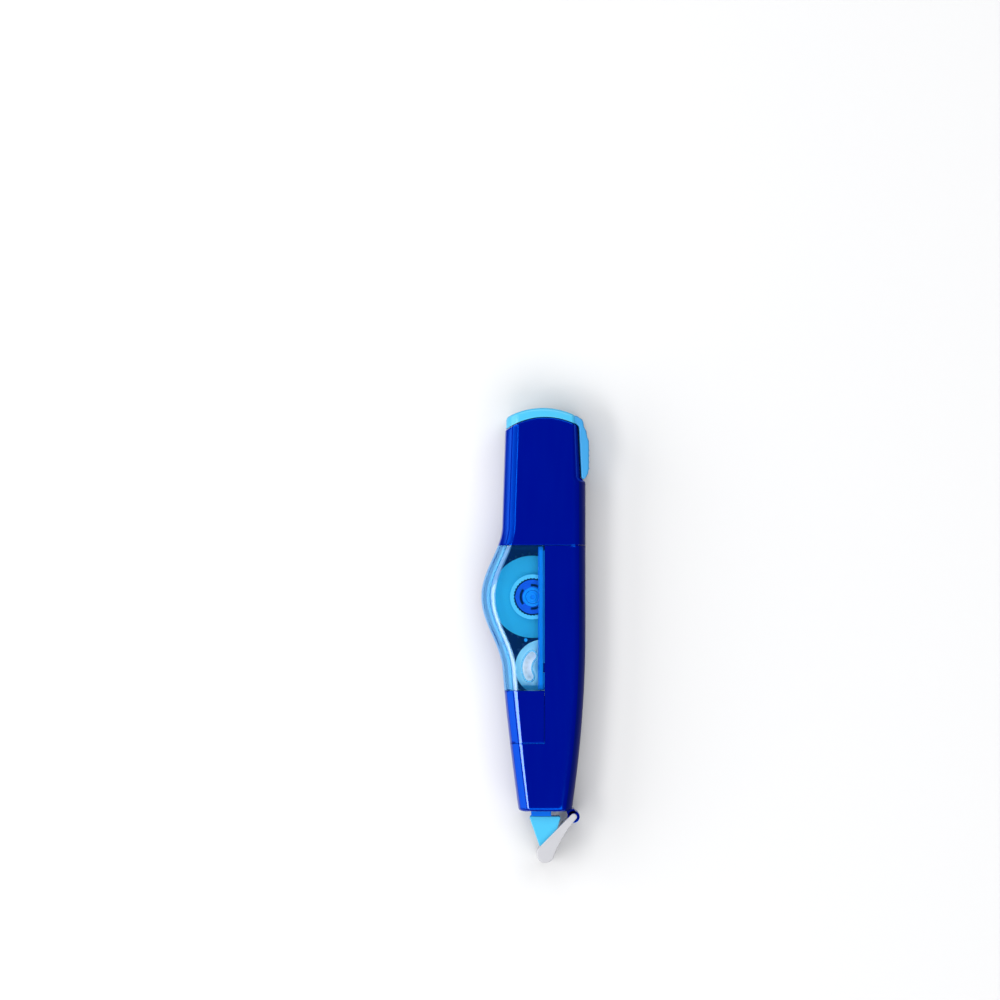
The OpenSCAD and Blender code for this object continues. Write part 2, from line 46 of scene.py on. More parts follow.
CASE_T = 14.0
WALL = 1.2
EDGE_R = 3.2
NOSE_Y = -40.6
LEFT_X = -7.75                      # left side where it is straight, and its flare towards the cap
FLARE_Y = 24
FLARE_SLOPE = 0.033
LEFT_TAPER = (-5, 34.6, 3.75, 1.25)   # where it starts, its run, how far it comes in, and its power
BULGE_D = 4.75
BULGE_Y = 8.9
BULGE_RUN = (16.5, 16)              # below its middle, and above it
SEAM_Y = 20.8
SEAM_GAP = 0.1
LAND_H = 0.15
WINDOW_X = 2.05
WINDOW_Y = -12.7
PANEL_Y = -24.9
MID_Z = CASE_T / 2
NOSE_ROUND = 0.8
FULL_X = 11.55
RIGHT_TAPER = (38, 2.81, 1.9)       # its run, how far it comes in, and its power
RECESS_Y = 35.9
RECESS_D = 1.15
RECESS_SLOPE = 0.051
RECESS_STEP = 0.5                   # half the length over which the right side steps in
TOP_C = (2.2, 34.7)
TOP_R = 15.5
SUPPLY_C = (-0.69, 8.88)
TAKEUP_C = (1.74, -7.44)
HINGE_C = (8.8, -41.9)
LUG_R = 1.41
LUG_BORE_R = 0.62
LUG_Z = (2.9, 11.1)
MOUTH = (-2.4, 6.7, 11.4)           # its two sides, and its top
MOUTH_R = 1.2
TONGUE = (0.2, 4.2, 1.2)            # its two sides, and half its thickness
SLIDER_GAP = 0.2
CROWN_R = 17.0
CROWN_C = (1.7, 52.5 - CROWN_R)
GRIP_X = 12.46
GRIP_Y = 36.3
BACK_PLATE_Z = 1.6
FRONT_PLATE_Z = 11.4
PLATE_T = 1.0
RAIL = (0.8, 1.75)
PLATE_X1 = 8.2
HEAD_TOP = -42.1
GUARD_END_C = (2.3, -50.42)
GUARD_END_R = 2.08
ARM_R = 0.75


def swell(t):
    """Smooth bump that is 1 at t = 0, and 0 from t = 1 on either way."""
    return 0.0 if abs(t) >= 1 else ((1 + math.cos(math.pi * t)) / 2) ** 0.9


def left_x(y):
    """Left side of the case, with the bulge over the supply reel."""
    start, run, depth, power = LEFT_TAPER
    if y > start:
        base = LEFT_X + FLARE_SLOPE * max(0.0, y - FLARE_Y)
    else:
        base = LEFT_X + depth * ((start - y) / run) ** power
    return base - BULGE_D * swell((y - BULGE_Y) / BULGE_RUN[y > BULGE_Y])


def right_x(y):
    """Right side of the case, which steps in for the thumb grip."""
    if y > RECESS_Y - RECESS_STEP:
        depth = min(1.0, (y - RECESS_Y + RECESS_STEP) / (2 * RECESS_STEP))
        return FULL_X - RECESS_D * depth - RECESS_SLOPE * max(0.0, y - RECESS_Y)
    run, depth, power = RIGHT_TAPER
    return FULL_X if y > 0 else FULL_X - depth * (-y / run) ** power


def arc_y(x, centre, r):
    """Height of an arc about centre at x."""
    return centre[1] + math.sqrt(max(0.0, r * r - (x - centre[0]) ** 2))


# ------------------------------------------------------------------ mesh helpers


def steps(a, b, n):
    return [a + (b - a) * i / n for i in range(n + 1)]


def new_object(name, mesh, body, node, mat):
    """Links a mesh as a piece that rides on a body, and stands for a CAD node or adds to one."""
    piece = bpy.data.objects.new(name, mesh)
    bpy.context.scene.collection.objects.link(piece)
    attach(piece, body)
    if node:
        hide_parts(node)
    mesh.materials.append(mat)
    return piece


def mesh_from(name, points, faces, weld=False):
    """Mesh with smooth faces from points in millimetres."""
    mesh = bpy.data.meshes.new(name)
    mesh.from_pydata([Vector(p) * MM for p in points], [], faces)
    bm = bmesh.new()
    bm.from_mesh(mesh)
    if weld:
        bmesh.ops.remove_doubles(bm, verts=bm.verts, dist=0.002 * MM)
    bmesh.ops.recalc_face_normals(bm, faces=bm.faces)
    for face in bm.faces:
        face.smooth = True
    bm.to_mesh(mesh)
    bm.free()
    return mesh


def bevel(piece, width, segments=3, angle=40):
    mod = piece.modifiers.new("edge", "BEVEL")
    mod.width = width * MM
    mod.segments = segments
    mod.limit_method = "ANGLE"
    mod.angle_limit = math.radians(angle)
    mod.miter_outer = "MITER_ARC"


def weighted(piece):
    mod = piece.modifiers.new("normals", "WEIGHTED_NORMAL")
    mod.keep_sharp = True
    mod.weight = 80


def grid_faces(rows, cols, skip_rows=0, skip_from=None):
    """Faces of a grid of points. The first skip_rows rows leave out the columns from skip_from on."""
    return [
        (r * cols + c, r * cols + c + 1, (r + 1) * cols + c + 1, (r + 1) * cols + c)
        for r in range(rows - 1)
        for c in range(cols - 1)
        if r >= skip_rows or c < skip_from
    ]


def circle(centre, r, n=64):
    return arc(centre, r, 0, 360, n)[:-1]


def arc(centre, r, a0, a1, n):
    """Points along an arc, from one angle to the other in degrees."""
    return [
        (centre[0] + r * math.cos(math.radians(a)), centre[1] + r * math.sin(math.radians(a)))
        for a in steps(a0, a1, n)
    ]


def prism(outline, z0, z1):
    """Points and faces of an outline raised from z0 to z1."""
    n = len(outline)
    points = [(x, y, z0) for x, y in outline] + [(x, y, z1) for x, y in outline]
    sides = [(i, (i + 1) % n, n + (i + 1) % n, n + i) for i in range(n)]
    return points, [tuple(reversed(range(n))), tuple(range(n, 2 * n))] + sides


def ring(outer, inner, z0, z1):
    """The same for the band between two outlines with as many points each."""
    n = len(outer)
    points = [(x, y, z) for z in (z0, z1) for line in (outer, inner) for x, y in line]
    faces = []
    for i in range(n):
        j = (i + 1) % n
        faces += [(i, j, 2 * n + j, 2 * n + i), (n + j, n + i, 3 * n + i, 3 * n + j)]
        faces += [(j, i, n + i, n + j), (2 * n + i, 2 * n + j, 3 * n + j, 3 * n + i)]
    return points, faces


def box(x0, x1, y0, y1, z0, z1):
    return prism([(x0, y0), (x1, y0), (x1, y1), (x0, y1)], z0, z1)


def merged(parts):
    """Several closed bodies as one list of points and one of faces."""
    points, faces = [], []
    for part_points, part_faces in parts:
        start = len(points)
        points += part_points
        faces += [tuple(i + start for i in face) for face in part_faces]
    return points, faces


def solid(name, parts, body, node, mat, edge=0.12, segments=3):
    """A piece made of one or more closed bodies, with its sharp edges rounded."""
    piece = new_object(name, mesh_from(name, *merged(parts)), body, node, mat)
    bevel(piece, edge, segments, 35)
    weighted(piece)


def applied(mesh, depth=None, cutters=()):
    """The mesh after it is thickened inwards and after the cutters are taken out of it."""
    body = bpy.data.objects.new("work", mesh)
    bpy.context.scene.collection.objects.link(body)
    extra = []
    if depth:
        thicken(body, depth)
    for parts in cutters:
        tool = bpy.data.objects.new("tool", mesh_from("tool", *parts))
        bpy.context.scene.collection.objects.link(tool)
        cut = body.modifiers.new("cut", "BOOLEAN")
        cut.operation = "DIFFERENCE"
        cut.solver = "EXACT"
        cut.object = tool
        extra.append(tool)
    made = bpy.data.meshes.new_from_object(body.evaluated_get(bpy.context.evaluated_depsgraph_get()))
    for spare in [body] + extra:
        old = spare.data
        bpy.data.objects.remove(spare)
        bpy.data.meshes.remove(old)
    return made


def thicken(piece, depth):
    mod = piece.modifiers.new("wall", "SOLIDIFY")
    mod.thickness = depth * MM
    mod.offset = -1
    mod.use_even_offset = True


# ------------------------------------------------------------------ materials


def material(name):
    mat = bpy.data.materials.new(name)
    mat.use_nodes = True
    return mat, mat.node_tree, mat.node_tree.nodes["Principled BSDF"]


def placed(tree, centre=(0, 0), stretch=(1, 1, 1)):
    """Object coordinates measured from a centre in millimetres."""
    coord = tree.nodes.new("ShaderNodeTexCoord")
    node = tree.nodes.new("ShaderNodeMapping")
    node.vector_type = "POINT"
    node.inputs["Location"].default_value = (-centre[0] * MM * stretch[0], -centre[1] * MM * stretch[1], 0)
    node.inputs["Scale"].default_value = stretch
    tree.links.new(coord.outputs["Object"], node.inputs["Vector"])
    return node.outputs["Vector"]


def noise(tree, scale, detail=3.0, roughness=0.5, stretch=(1, 1, 1)):
    node = tree.nodes.new("ShaderNodeTexNoise")
    node.inputs["Scale"].default_value = scale
    node.inputs["Detail"].default_value = detail
    node.inputs["Roughness"].default_value = roughness
    tree.links.new(placed(tree, stretch=stretch), node.inputs["Vector"])
    return node.outputs["Fac"]


def ramp(tree, source, stops):
    node = tree.nodes.new("ShaderNodeValToRGB")
    node.color_ramp.elements[0].position, node.color_ramp.elements[0].color = stops[0]
    node.color_ramp.elements[1].position, node.color_ramp.elements[1].color = stops[-1]
    for place, colour in stops[1:-1]:
        node.color_ramp.elements.new(place).color = colour
    tree.links.new(source, node.inputs["Fac"])
    return node.outputs["Color"]


def spread(tree, source, low, high):
    """Maps a 0 to 1 value to low to high."""
    node = tree.nodes.new("ShaderNodeMapRange")
    node.inputs["To Min"].default_value = low
    node.inputs["To Max"].default_value = high
    tree.links.new(source, node.inputs["Value"])
    return node.outputs["Result"]


def bump(tree, shader, source, strength, distance):
    node = tree.nodes.new("ShaderNodeBump")
    node.inputs["Strength"].default_value = strength
    node.inputs["Distance"].default_value = distance * MM
    tree.links.new(source, node.inputs["Height"])
    tree.links.new(node.outputs["Normal"], shader.inputs["Normal"])


GRAIN = 0.006                       # depth of the moulded surface's grain


def moulded(name, colour, dark=0.9, rough=(0.1, 0.18), specular=0.5, tint=None, coat=0.0, ior=1.5):
    """Moulded plastic: slow colour drift, faint flow marks and fine scuffs that change its gloss."""
    mat, tree, shader = material(name)
    low = tuple(c * dark for c in colour) + (1,)
    flow = ramp(tree, noise(tree, 90, 4, 0.55), [(0.3, low), (0.7, tuple(colour) + (1,))])
    tree.links.new(flow, shader.inputs["Base Color"])
    scuffs = noise(tree, 700, 3, 0.6, stretch=(1, 0.12, 1))
    tree.links.new(spread(tree, scuffs, *rough), shader.inputs["Roughness"])
    bump(tree, shader, noise(tree, 2600, 2, 0.5), 0.15, GRAIN)
    shader.inputs["IOR"].default_value = ior
    shader.inputs["Specular IOR Level"].default_value = specular
    if tint:
        shader.inputs["Specular Tint"].default_value = tuple(tint) + (1,)
    if coat:
        shader.inputs["Coat Weight"].default_value = coat
        shader.inputs["Coat Roughness"].default_value = 0.06
        shader.inputs["Coat IOR"].default_value = 1.6
    return mat


def wound(name, colour, dark, centre, pitch):
    """Film wound on a reel: fine rings about the reel's centre in the colour and in the surface."""
    mat, tree, shader = material(name)
    turns = tree.nodes.new("ShaderNodeTexWave")
    turns.wave_type = "RINGS"
    turns.rings_direction = "Z"
    turns.inputs["Scale"].default_value = 2 * math.pi / (20 * pitch * MM)
    turns.inputs["Distortion"].default_value = 0.6
    turns.inputs["Detail"].default_value = 2
    tree.links.new(placed(tree, centre), turns.inputs["Vector"])
    low = tuple(c * dark for c in colour) + (1,)
    shade = ramp(tree, turns.outputs["Fac"], [(0.0, low), (1.0, tuple(colour) + (1,))])
    tree.links.new(shade, shader.inputs["Base Color"])
    tree.links.new(spread(tree, noise(tree, 500), 0.4, 0.55), shader.inputs["Roughness"])
    bump(tree, shader, turns.outputs["Fac"], 0.3, 0.01)
    return mat


def clear_plastic(name, tint, solid_colour, body_share, blend=0.2, rough=(0.05, 0.09), ior=1.5,
                  gloss_tint=None, coat=0.0):
    """Clear tinted plastic: it colours what is behind it, and its edges and grazing walls look solid."""
    mat, tree, shader = material(name)
    low = tuple(c * 0.93 for c in solid_colour) + (1,)
    drift = ramp(tree, noise(tree, 120), [(0.3, low), (0.7, tuple(solid_colour) + (1,))])
    tree.links.new(drift, shader.inputs["Base Color"])
    tree.links.new(spread(tree, noise(tree, 600, stretch=(1, 0.15, 1)), *rough), shader.inputs["Roughness"])
    shader.inputs["IOR"].default_value = ior
    clear = tree.nodes.new("ShaderNodeBsdfTransparent")
    clear.inputs["Color"].default_value = tuple(tint) + (1,)
    facing = tree.nodes.new("ShaderNodeLayerWeight")
    facing.inputs["Blend"].default_value = blend
    mix = tree.nodes.new("ShaderNodeMixShader")
    shader.inputs["Coat Weight"].default_value = coat
    shader.inputs["Coat Roughness"].default_value = 0.05
    if gloss_tint:
        shader.inputs["Specular Tint"].default_value = tuple(gloss_tint) + (1,)
        shader.inputs["Specular IOR Level"].default_value = 1.0
    tree.links.new(spread(tree, facing.outputs["Facing"], body_share, 1.0), mix.inputs["Fac"])
    tree.links.new(clear.outputs["BSDF"], mix.inputs[1])
    tree.links.new(shader.outputs["BSDF"], mix.inputs[2])
    tree.links.new(mix.outputs["Shader"], tree.nodes["Material Output"].inputs["Surface"])
    return mat


CASE_BLUE = (0.0, 0.001, 0.235)
BLUE_GLOSS = (0.0, 0.17, 1.0)       # reflections on the blue case keep its hue
CLEAR_TINT = (0.74, 0.95, 1.0)
CLEAR_ROUGH = (0.05, 0.06)
case_mat = moulded("case_blue", CASE_BLUE, 0.95, tint=BLUE_GLOSS, specular=1.0, ior=2.0)
window_mat = clear_plastic("window_clear", CLEAR_TINT, (0.01, 0.28, 0.9), 0.05, 0.5, CLEAR_ROUGH,
                           ior=3.0, gloss_tint=(0.3, 0.8, 1.0), coat=0.7)
# Window's narrow facet: a coat that catches the strip light, plus a pale, more solid blue that paints its
# long highlight
painted_highlight_mat = clear_plastic("window_painted_highlight", CLEAR_TINT, (0.3, 0.5, 0.8), 0.45, 0.5, CLEAR_ROUGH,
                          ior=1.6, coat=1.0)
rail_mat = clear_plastic("rail_clear", (0.7, 0.92, 1.0), (0.02, 0.4, 1.0), 0.85, 0.6)
polished_mat = moulded("case_polished", CASE_BLUE, 0.95, tint=BLUE_GLOSS, specular=1.0, coat=0.85, ior=2.0)
# Satin right side of the case: rougher and less glossy, and a darker copy of the case blue that is painted
# shade on the side away from the lights
satin_shaded_side_mat = moulded("case_side_satin_painted_shade", (0.0, 0.004, 0.12), 0.95, (0.3, 0.4), specular=0.05)
bright_mat = moulded("hub_bright", (0.005, 0.4, 1.0), 0.95, (0.2, 0.3))
stem_mat = clear_plastic("stem_clear", (0.2, 0.6, 0.98), (0.005, 0.19, 0.95), 0.85)
cyan_mat = moulded("cyan_plastic", (0.052, 0.42, 0.68), 0.97, (0.22, 0.3))
# Thumb grip: a darker, rougher copy of the cap's cyan, the darkening being painted shade on the side away
# from the lights
grip_shaded_mat = moulded("cyan_grip_painted_shade", (0.025, 0.27, 0.58), 0.97, (0.3, 0.4))
gear_mat = moulded("gear_navy", (0.0, 0.012, 0.2), 0.9, (0.3, 0.4))
hub_mat = moulded("hub_blue", (0.005, 0.12, 0.75), 0.95, (0.25, 0.35))
core_mat = moulded("core_pale", (0.35, 0.85, 1.0), 0.97, (0.25, 0.35))
tape_mat = wound("tape_wound", (0.05, 0.5, 0.7), 0.93, SUPPLY_C, 0.22)
film_mat = moulded("tape_white", (0.7, 0.71, 0.72), 0.96, (0.5, 0.65))
reel_mat = moulded("reel_white", (0.93, 0.96, 0.98), 0.97, (0.3, 0.4))
ribbon_mat = wound("ribbon_wound", (0.6, 0.68, 0.72), 0.9, TAKEUP_C, 0.18)
strand_mat = moulded("ribbon_film", (0.6, 0.68, 0.72), 0.94, (0.2, 0.3))
guard_mat = clear_plastic("guard_milky", (0.93, 0.94, 0.97), (0.55, 0.55, 0.58), 0.8, 0.3, (0.2, 0.3))


# ------------------------------------------------------------------ case shells

# Left edge of a case piece as (distance from the side, drop below the face): two facets with a fine
# groove between them
UPPER_EDGE = [
    (3.05, 0), (2.9, 0.03), (1.85, 0.42), (1.78, 0.46), (1.65, 0.66), (1.52, 0.56), (1.45, 0.6),
    (0.35, 1.5), (0.2, 1.7), (0.04, 3.2), (0, 3.6),
]
NOSE_EDGE = [
    (3.1, 0), (2.95, 0.02), (2.15, 0.22), (2.1, 0.24), (2.0, 0.4), (1.92, 0.32), (1.87, 0.34),
    (0.55, 1.3), (0.4, 1.5), (0.06, 3.0), (0, 3.4),
]
CORNER_STEPS = 14
SIDE_STEPS = 4
MIDDLE_X = 2.0                      # line that the case's face and the cap rise towards
FACE_HALF = 9.0                     # half the face's width
FACET_SHRINK = 0.6                  # share of the nose's inner facet that is gone at the head
FACET_RUN = 27.0                    # length over which it shrinks
SATIN_AND_SHADE_FROM = 52                     # angle up from the side to which the satin finish and its painted shade reach


def half_columns(edge, flat):
    """Stations round the front half of a cross-section, from the right seam over to the left one."""
    columns = [("right_side", t) for t in steps(0, 1, SIDE_STEPS)[:-1]]
    columns += [("right", a) for a in steps(0, 90, CORNER_STEPS)]
    columns += [("flat_right", t) for t in steps(0, 1, flat)[1:]]
    columns += [("flat_left", t) for t in steps(1, 0, flat)[1:-1]]
    return columns + left_columns(edge)


def left_columns(edge):
    if edge:
        left = [("facet", (d, drop, i / (len(edge) - 1))) for i, (d, drop) in enumerate(edge)]
    else:
        left = [("left", a) for a in steps(90, 180, CORNER_STEPS)]
    return left + [("left_side", (t, edge)) for t in steps(1, 0, SIDE_STEPS)[1:]]


def tapered(d, drop, y):
    """Narrows the inner facet of the nose's edge towards the head, without changing its slope."""
    turn, depth = NOSE_EDGE[3]
    k = 1 - FACET_SHRINK * min(1.0, max(0.0, (WINDOW_Y - y) / FACET_RUN))
    if d > turn:
        return turn + (d - turn) * k, drop * k
    return d, drop - depth * (1 - k)


def section_point(column, y, pull, window_x, edge=None, low=MID_Z + SEAM_GAP / 2):
    """Point of the case's front surface at a station of the cross-section, pulled in by pull."""
    kind, value = column
    r = max(0.6, EDGE_R - pull)
    # Behind the thumb grip the side steps in, but the front's flat part doesn't
    x1 = (FULL_X if y > RECESS_Y - RECESS_STEP else right_x(y)) - pull - r
    reach = right_x(y) - pull - x1
    x0 = left_x(y) + pull
    top = CASE_T - pull
    if kind == "right_side":
        return (x1 + reach, low + (top - r - low) * value)
    if kind == "right":
        a = math.radians(value)
        return (x1 + reach * math.cos(a), top - r + r * math.sin(a))
    if kind == "flat_right":
        return (x1 + (window_x - x1) * value, top)
    if kind == "flat_left":
        inner = x0 + r
        if edge:
            inner = x0 + (tapered(*edge[0], y)[0] if edge is NOSE_EDGE else edge[0][0])
        return (inner + (window_x - inner) * value, top)
    if kind == "facet":
        d, drop = tapered(value[0], value[1], y) if edge is NOSE_EDGE else value[:2]
        return (x0 + d, top - drop)
    if kind == "left":
        a = math.radians(value)
        return (x0 + r + r * math.cos(a), top - r + r * math.sin(a))
    foot = top - r
    if edge:
        foot = top - (tapered(*edge[-1], y)[1] if edge is NOSE_EDGE else edge[-1][1])
    return (x0, low + (foot - low) * value[0])


def hole_point(column, window_x, sides):
    """Point on the rim of a rounded hole for a station of the cross-section."""
    low = MID_Z + SEAM_GAP / 2
    kind, value = column
    x0, x1, z1, r = sides
    if kind == "right_side":
        return (x1, low + (z1 - r - low) * value)
    if kind == "left_side":
        return (x0, low + (z1 - r - low) * value[0])
    if kind == "flat_right":
        return (x1 - r + (window_x - x1 + r) * value, z1)
    if kind == "flat_left":
        return (x0 + r + (window_x - x0 - r) * value, z1)
    if kind == "facet":
        value = 90 + 90 * value[2]
    a = math.radians(value)
    centre = x1 - r if kind == "right" else x0 + r
    return (centre + r * math.cos(a), z1 - r + r * math.sin(a))


def domed(points, rise=0.03):
    """Gives the flat face a slight crown from side to side."""
    return [
        (x, y, MID_Z + (z - MID_Z) * (1 - rise * ((x - MIDDLE_X) / FACE_HALF) ** 2)) if z > MID_Z + 2
        else (x, y, z)
        for x, y, z in points
    ]


def flip_z(points):
    """The back half: the front half turned over about the middle, and squeezed to end at the lands."""
    k = (MID_Z - LAND_H) / (CASE_T - MID_Z)
    return [(x, y, MID_Z - (z - MID_Z) * k) for x, y, z in points]


def face_outwards(mesh):
    """Turns the faces of an open shell so that they look away from the case's middle line."""
    bm = bmesh.new()
    bm.from_mesh(mesh)
    middle = Vector((2 * MM, 0, MID_Z * MM))
    score = 0.0
    for face in bm.faces:
        away = face.calc_center_median() - middle
        away.y = 0
        score += face.normal.dot(away) * face.calc_area()
    if score < 0:
        bmesh.ops.reverse_faces(bm, faces=bm.faces)
    bm.to_mesh(mesh)
    bm.free()


def zone(columns, face, points):
    """Material of a face of the case: 0 gloss, 1 the polished narrow facet (on the window a pale blue,
    painted highlight), 2 the satin right side, whose darker blue is painted shade.
    """
    kind, value = columns[min(face) % len(columns)]
    if kind == "facet" and value[:2] == NOSE_EDGE[1]:
        return 1
    y = points[min(face)][1]
    at_side = kind == "right_side" or (kind == "right" and value < SATIN_AND_SHADE_FROM)
    return 2 if at_side and y < RECESS_Y - RECESS_STEP else 0


def shell(node, points, faces, front, mat, cutters=(), extra=(), edge=0.13, columns=None,
          polished=None):
    """A wall of the case, thickened inwards, with any closed parts that are moulded on it. Given its
    columns, its narrow facet is polished (on the window with a painted highlight) and its right side is
    satin and darker blue, as painted shade."""
    points = domed(points)
    mats = [mat, polished or polished_mat, satin_shaded_side_mat] if columns else [mat]
    mesh = mesh_from(node, points if front else flip_z(points), faces, True)
    zones = [zone(columns, face, points) if columns else 0 for face in faces]
    mesh.polygons.foreach_set("material_index", zones)
    face_outwards(mesh)
    for each in mats:
        mesh.materials.append(each)
    mesh = applied(mesh, WALL, cutters)
    mesh.name = node
    if extra:
        add_parts(mesh, extra)
    kept = [face.material_index for face in mesh.polygons]
    mesh.materials.clear()
    piece = new_object(node, mesh, "case", node, mat)
    for each in mats[1:]:
        mesh.materials.append(each)
    mesh.polygons.foreach_set("material_index", kept)
    bevel(piece, edge, 3, 50)
    weighted(piece)


def add_parts(mesh, parts):
    """Adds closed bodies to a mesh."""
    more = mesh_from("more", *merged(parts))
    bm = bmesh.new()
    bm.from_mesh(mesh)
    bm.from_mesh(more)
    bm.to_mesh(mesh)
    bm.free()
    bpy.data.meshes.remove(more)


def half_z(front, z0, z1):
    """A height range above the middle, or its mirror image below it for the back half."""
    return (z0, z1) if front else (2 * MID_Z - z1, 2 * MID_Z - z0)


def upper_shell(front):
    """Upper case: from the seam to the arc at its end, whose wall has the slot for the slider's tongue."""
    columns = half_columns(UPPER_EDGE, 10)
    start = SEAM_Y + SEAM_GAP / 2
    points = []
    long_rows = 60
    for v in steps(0, 1, long_rows):
        for column in columns:
            end = 48.0
            for _ in range(4):
                x, z = section_point(column, end, 0, WINDOW_X, UPPER_EDGE)
                end = arc_y(x, TOP_C, TOP_R)
            y = start + (end - start) * v
            x, z = section_point(column, y, 0, WINDOW_X, UPPER_EDGE)
            points.append((x, y, z))
    slot_sides = (TONGUE[0] - SLIDER_GAP, TONGUE[1] + SLIDER_GAP, MID_Z + TONGUE[2] + SLIDER_GAP, 0.3)
    rim = points[-len(columns):]
    for t in steps(0, 1, 6)[1:]:
        for column, (x, _, z) in zip(columns, rim):
            hx, hz = hole_point(column, WINDOW_X, slot_sides)
            x += (hx - x) * t
            points.append((x, arc_y(x, TOP_C, TOP_R), z + (hz - z) * t))
    rows = len(points) // len(columns)
    half = "front" if front else "back"
    z0, z1 = half_z(front, MID_Z + SEAM_GAP / 2 + 2, CASE_T - WALL + 0.1)
    rails = [
        box(x, x + 1, 37, 46, z0, z1)
        for x in (TONGUE[0] - SLIDER_GAP - 1, TONGUE[1] + SLIDER_GAP)
    ]
    extra = rails if front else rails + [land(SEAM_Y + 1, 44, -20)]
    shell(f"upper_case_{half}", points, grid_faces(rows, len(columns)), front, case_mat,
          extra=extra, columns=columns)


def land(y0, y1, x_min):
    """Flat land that stands proud of the back."""
    rows = steps(y0, y1, 6)
    left = [(max(x_min, left_x(y) + EDGE_R + 0.8), y) for y in rows]
    right = [(right_x(y) - EDGE_R - 0.2, y) for y in reversed(rows)]
    return prism(left[::-1] + right[::-1], 0, LAND_H + 0.3)


def lug(front):
    """Half of the hinge lug, with its bore, and the foot that joins it to the nose."""
    z0, z1 = (MID_Z + SEAM_GAP / 2, LUG_Z[1]) if front else (LUG_Z[0], MID_Z - SEAM_GAP / 2)
    foot = [
        (7.0, -40.1), (7.3, -41.2), (8.05, -41.75), (8.3, -41.2), (8.85, -41.05), (9.5, -41), (8.9, -40.1),
    ]
    return [ring(circle(HINGE_C, LUG_R, 48), circle(HINGE_C, LUG_BORE_R, 48), z0, z1), prism(foot, z0, z1)]


def lower_shell(front):
    """Lower case: the strip at the right, and the whole nose with its end wall and mouth."""
    edge_x = WINDOW_X + SEAM_GAP / 2
    columns = half_columns(NOSE_EDGE, 8)
    edge_col = columns.index(("flat_right", 1.0))
    panel_top = PANEL_Y - SEAM_GAP / 2
    strip_rows = 60
    long_rows = steps(SEAM_Y - SEAM_GAP / 2, panel_top, strip_rows)
    long_rows += steps(panel_top, NOSE_Y + NOSE_ROUND, 20)[1:]
    rings = [(y, 0) for y in long_rows]
    for a in steps(0, math.pi / 2, 6)[1:]:
        rings.append((NOSE_Y + NOSE_ROUND * (1 - math.sin(a)), NOSE_ROUND * (1 - math.cos(a))))
    points = []
    for y, pull in rings:
        for column in columns:
            x, z = section_point(column, y, pull, edge_x, NOSE_EDGE)
            points.append((x, y, z))
    rim = points[-len(columns):]
    for t in steps(0, 1, 4)[1:]:
        for column, (x, y, z) in zip(columns, rim):
            hx, hz = hole_point(column, edge_x, MOUTH + (MOUTH_R,))
            points.append((x + (hx - x) * t, y, z + (hz - z) * t))
    rows = len(points) // len(columns)
    faces = grid_faces(rows, len(columns), strip_rows, edge_col)
    half = "front" if front else "back"
    extra = lug(front)
    if not front:
        extra += [land(NOSE_Y + 3, PANEL_Y - 0.5, -20), land(PANEL_Y + 0.5, SEAM_Y - 1, WINDOW_X + 1)]
    shell(f"lower_case_{half}", points, faces, front, case_mat, extra=extra, columns=columns)


def left_patch(y0, y1, rows):
    """Points and faces of the case's left side between two stations, out to the window's right edge."""
    edge_x = WINDOW_X - SEAM_GAP / 2
    columns = [("flat_left", t) for t in steps(1, 0, 12)[:-1]] + left_columns(NOSE_EDGE)
    points = []
    for y in steps(y0, y1, rows):
        for column in columns:
            x, z = section_point(column, y, 0, edge_x, NOSE_EDGE)
            points.append((x, y, z))
    return points, grid_faces(rows + 1, len(columns)), columns


def nose_panel(front):
    half = "front" if front else "back"
    points, faces, columns = left_patch(WINDOW_Y - SEAM_GAP / 2, PANEL_Y + SEAM_GAP / 2, 24)
    shell(f"nose_panel_{half}", points, faces, front, case_mat, columns=columns)


# ------------------------------------------------------------------ refill cartridge

KIDNEY_R = 3.77
KIDNEY_HALF = 1.0
KIDNEY_A = (133, 212)
LIP_Z = 11.1
WINDOW_TOP = SEAM_Y - SEAM_GAP / 2
WINDOW_LOW = WINDOW_Y + SEAM_GAP / 2


def kidney(grow):
    """Outline of the kidney-shaped slot about the take-up reel's centre."""
    a0, a1 = KIDNEY_A
    half = KIDNEY_HALF + grow
    ends = [arc(TAKEUP_C, KIDNEY_R, a, a, 1)[0] for a in (a0, a1)]
    return (
        arc(TAKEUP_C, KIDNEY_R + half, a0, a1, 16)
        + arc(ends[1], half, a1 + 12, a1 + 168, 10)
        + arc(TAKEUP_C, KIDNEY_R - half, a1, a0, 14)
        + arc(ends[0], half, a0 + 192, a0 + 348, 10)
    )


